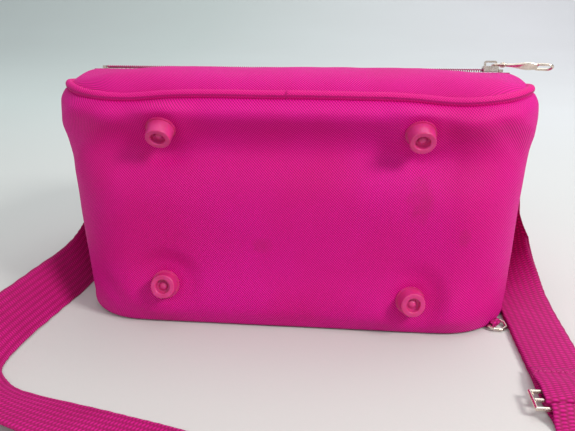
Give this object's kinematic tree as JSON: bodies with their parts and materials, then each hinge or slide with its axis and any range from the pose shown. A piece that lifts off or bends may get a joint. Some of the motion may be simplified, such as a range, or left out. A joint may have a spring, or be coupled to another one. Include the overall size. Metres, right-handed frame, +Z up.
{
  "type": "beach bag",
  "caption": "Padded fabric beach bag with piped front panel, zipped pocket, zipped top, riveted base feet and adjustable webbing shoulder strap.",
  "frame": {"origin": "middle of the back panel's outer face, on the surface the bag lies on", "axes": "+Z up through the front panel, -Y the way the base and its feet face, +X towards the bag's right side seen from the base"},
  "size_m": [0.415, 0.4771, 0.1838],
  "materials": {
    "body_cloth": "padded polyester oxford weave, matt",
    "piping_cloth": "bias-cut polyester over cord",
    "lining_cloth": "plain lining",
    "stiffener_board": "flexible polyethylene board",
    "foot_plastic": "soft slightly translucent moulding",
    "washer_steel": "plain",
    "strap_webbing": "ribbed polyester webbing",
    "zip_tape": "woven tape",
    "zip_coil_nylon": "nylon coil",
    "metal_champagne": "polished, warm silver"
  },
  "bodies": {
    "bag": {"back_panel": "body_cloth", "base_and_sides": "body_cloth", "base_board": "stiffener_board", "corner_tab": "strap_webbing", "foot_lower_left": "foot_plastic", "foot_lower_right": "foot_plastic", "foot_rivets": "foot_plastic", "foot_upper_left": "foot_plastic", "foot_upper_right": "foot_plastic", "foot_washers": "washer_steel", "front_panel_lower": "body_cloth", "front_panel_upper": "body_cloth", "front_panel_zip_ends": "body_cloth", "front_piping": "piping_cloth", "main_zip_coil": "zip_coil_nylon", "main_zip_stops": "metal_champagne", "main_zip_tape_lower": "zip_tape", "main_zip_tape_upper": "zip_tape", "pocket_inner_wall": "lining_cloth", "pocket_zip_coil": "zip_coil_nylon", "pocket_zip_stops": "metal_champagne", "pocket_zip_tape_lower": "zip_tape", "pocket_zip_tape_upper": "zip_tape", "side_tab_left": "strap_webbing", "side_tab_right": "strap_webbing", "strap_doubled_run": "strap_webbing", "strap_long_run": "strap_webbing", "top_strip_back": "body_cloth", "top_strip_front": "body_cloth"},
    "pocket_slider": {"pocket_zip_slider": "metal_champagne"},
    "pocket_link": {"pocket_zip_link": "metal_champagne"},
    "pocket_puller": {"pocket_zip_puller": "metal_champagne"},
    "main_slider": {"main_zip_slider": "metal_champagne"},
    "main_link": {"main_zip_link": "metal_champagne"},
    "main_puller": {"main_zip_puller": "metal_champagne"},
    "left_ring": {"side_ring_left": "metal_champagne", "strap_turn_left": "strap_webbing"},
    "right_ring": {"side_ring_right": "metal_champagne", "strap_turn_right": "strap_webbing"},
    "corner_ring": {"corner_ring": "metal_champagne"},
    "adjuster": {"strap_adjuster": "metal_champagne", "strap_sewn_end": "strap_webbing"}
  },
  "joints": [
    {"name": "pocket_zip_slide", "type": "slide", "parent": "bag", "child": "pocket_slider", "axis": [-1, 0, 0], "range_m": [0, 0.27]},
    {"name": "pocket_link_hinge", "type": "hinge", "parent": "pocket_slider", "child": "pocket_link", "pos_m": [0.14235, -0.0422, 0.18048], "axis": [0, -0.9901, 0.1403], "range_deg": [0, 60]},
    {"name": "pocket_puller_hinge", "type": "hinge", "parent": "pocket_link", "child": "pocket_puller", "pos_m": [0.14885, -0.0422, 0.18048], "axis": [0, -0.9901, 0.1403], "range_deg": [0, 115]},
    {"name": "main_zip_slide", "type": "slide", "parent": "bag", "child": "main_slider", "axis": [-1, 0, 0], "range_m": [0, 0.195]},
    {"name": "main_link_hinge", "type": "hinge", "parent": "main_slider", "child": "main_link", "pos_m": [0.10235, 0.12525, 0.066], "axis": [0, 0, 1], "range_deg": [0, 60]},
    {"name": "main_puller_hinge", "type": "hinge", "parent": "main_link", "child": "main_puller", "pos_m": [0.10885, 0.12525, 0.066], "axis": [0, 0, 1], "range_deg": [0, 115]},
    {"name": "left_ring_swing", "type": "hinge", "parent": "bag", "child": "left_ring", "pos_m": [-0.1707, 0.049, 0.068], "axis": [0, 0, -1], "range_deg": [0, 12]},
    {"name": "right_ring_swing", "type": "hinge", "parent": "bag", "child": "right_ring", "pos_m": [0.1707, 0.049, 0.068], "axis": [0, 0, 1], "range_deg": [0, 12]},
    {"name": "corner_ring_swing", "type": "hinge", "parent": "bag", "child": "corner_ring", "pos_m": [0.1483, -0.10014, 0.0029], "axis": [-0.6428, -0.766, 0], "range_deg": [0, 30]},
    {"name": "adjuster_slide", "type": "slide", "parent": "bag", "child": "adjuster", "axis": [0, -1, 0], "range_m": [0, 0.012]}
  ]
}
